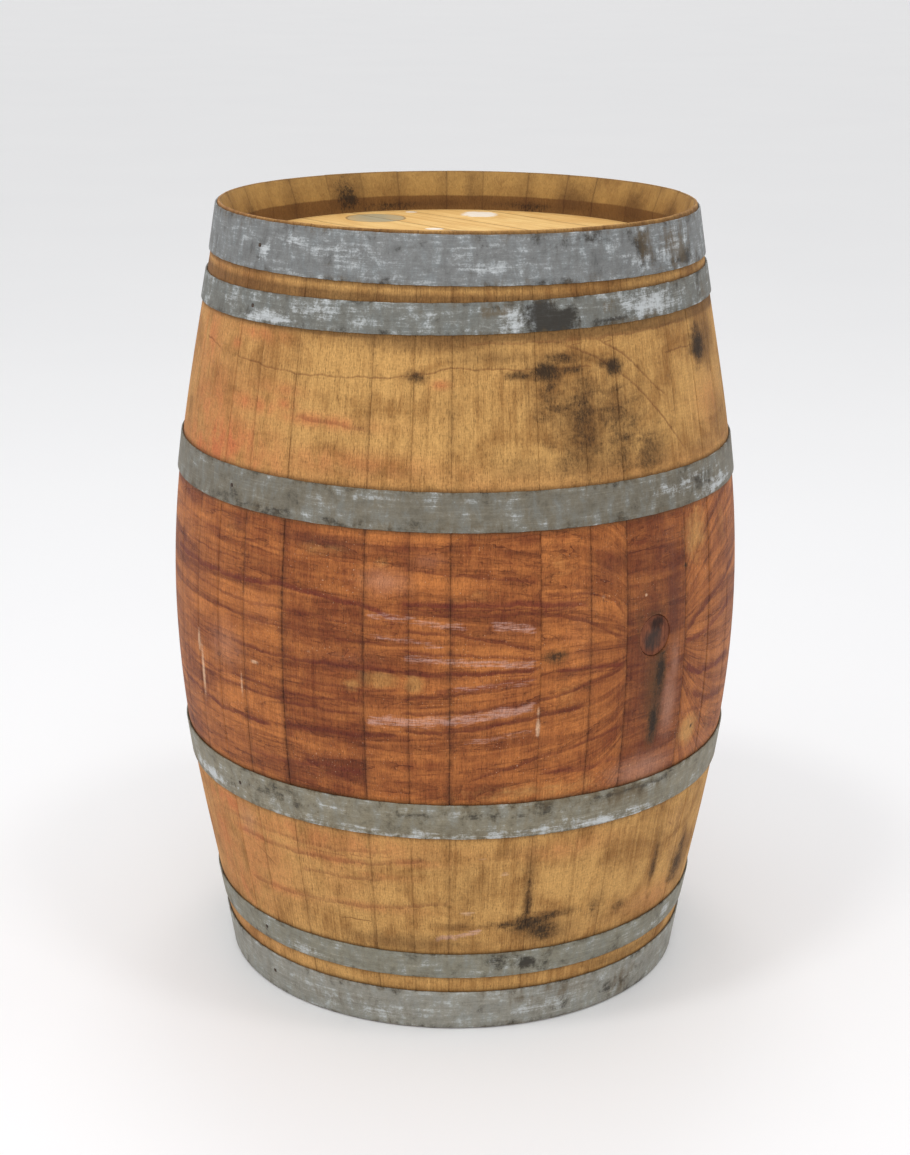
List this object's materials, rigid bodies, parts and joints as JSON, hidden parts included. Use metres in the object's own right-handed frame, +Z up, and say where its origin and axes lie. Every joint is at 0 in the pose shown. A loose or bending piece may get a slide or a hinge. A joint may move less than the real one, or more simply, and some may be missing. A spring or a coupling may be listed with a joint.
{
  "type": "oak wine barrel",
  "caption": "Upright oak barrel of bowed staves held by galvanised steel hoops, with two recessed flat heads and a bung in its side, for ageing wine.",
  "frame": {"origin": "centre of the bottom end, on the plane that the barrel stands on", "axes": "+Z up along the barrel's axis; -Y towards the viewer with the bung 41 degrees from -Y towards +X"},
  "size_m": [0.6969, 0.697, 0.95],
  "materials": {
    "oak_staves": "weathered, wine stained",
    "oak_heads": "planed, raw",
    "galvanised_hoops": "galvanised, dull, stained",
    "rivet_steel": "galvanised, dull",
    "nail_steel": "dark, rusty",
    "dowel_wood": "raw",
    "bung_wood": "soaked, stained"
  },
  "bodies": {
    "cask": {"bottom_head_board_1": "oak_heads", "bottom_head_board_2": "oak_heads", "bottom_head_board_3": "oak_heads", "bottom_head_board_4": "oak_heads", "bottom_head_board_5": "oak_heads", "bottom_head_board_6": "oak_heads", "bottom_head_board_7": "oak_heads", "bottom_head_dowels": "dowel_wood", "bung_stave": "oak_staves", "hoop_bottom_bilge": "galvanised_hoops", "hoop_bottom_head": "galvanised_hoops", "hoop_bottom_quarter": "galvanised_hoops", "hoop_nails": "nail_steel", "hoop_rivets": "rivet_steel", "hoop_top_bilge": "galvanised_hoops", "hoop_top_head": "galvanised_hoops", "hoop_top_quarter": "galvanised_hoops", "stave_01": "oak_staves", "stave_02": "oak_staves", "stave_03": "oak_staves", "stave_04": "oak_staves", "stave_05": "oak_staves", "stave_06": "oak_staves", "stave_07": "oak_staves", "stave_08": "oak_staves", "stave_09": "oak_staves", "stave_10": "oak_staves", "stave_12": "oak_staves", "stave_13": "oak_staves", "stave_14": "oak_staves", "stave_15": "oak_staves", "stave_16": "oak_staves", "stave_17": "oak_staves", "stave_18": "oak_staves", "stave_19": "oak_staves", "stave_20": "oak_staves", "stave_21": "oak_staves", "stave_22": "oak_staves", "stave_23": "oak_staves", "stave_24": "oak_staves", "stave_25": "oak_staves", "stave_26": "oak_staves", "stave_27": "oak_staves", "stave_28": "oak_staves", "stave_29": "oak_staves", "stave_30": "oak_staves", "stave_31": "oak_staves", "stave_32": "oak_staves", "top_head_board_1": "oak_heads", "top_head_board_2": "oak_heads", "top_head_board_3": "oak_heads", "top_head_board_4": "oak_heads", "top_head_board_5": "oak_heads", "top_head_board_6": "oak_heads", "top_head_board_7": "oak_heads", "top_head_dowels": "dowel_wood"},
    "bung": {"bung": "bung_wood"}
  },
  "joints": [
    {"name": "bung_pull", "type": "slide", "parent": "cask", "child": "bung", "axis": [0.6561, -0.7547, 0], "range_m": [0, 0.08]}
  ]
}
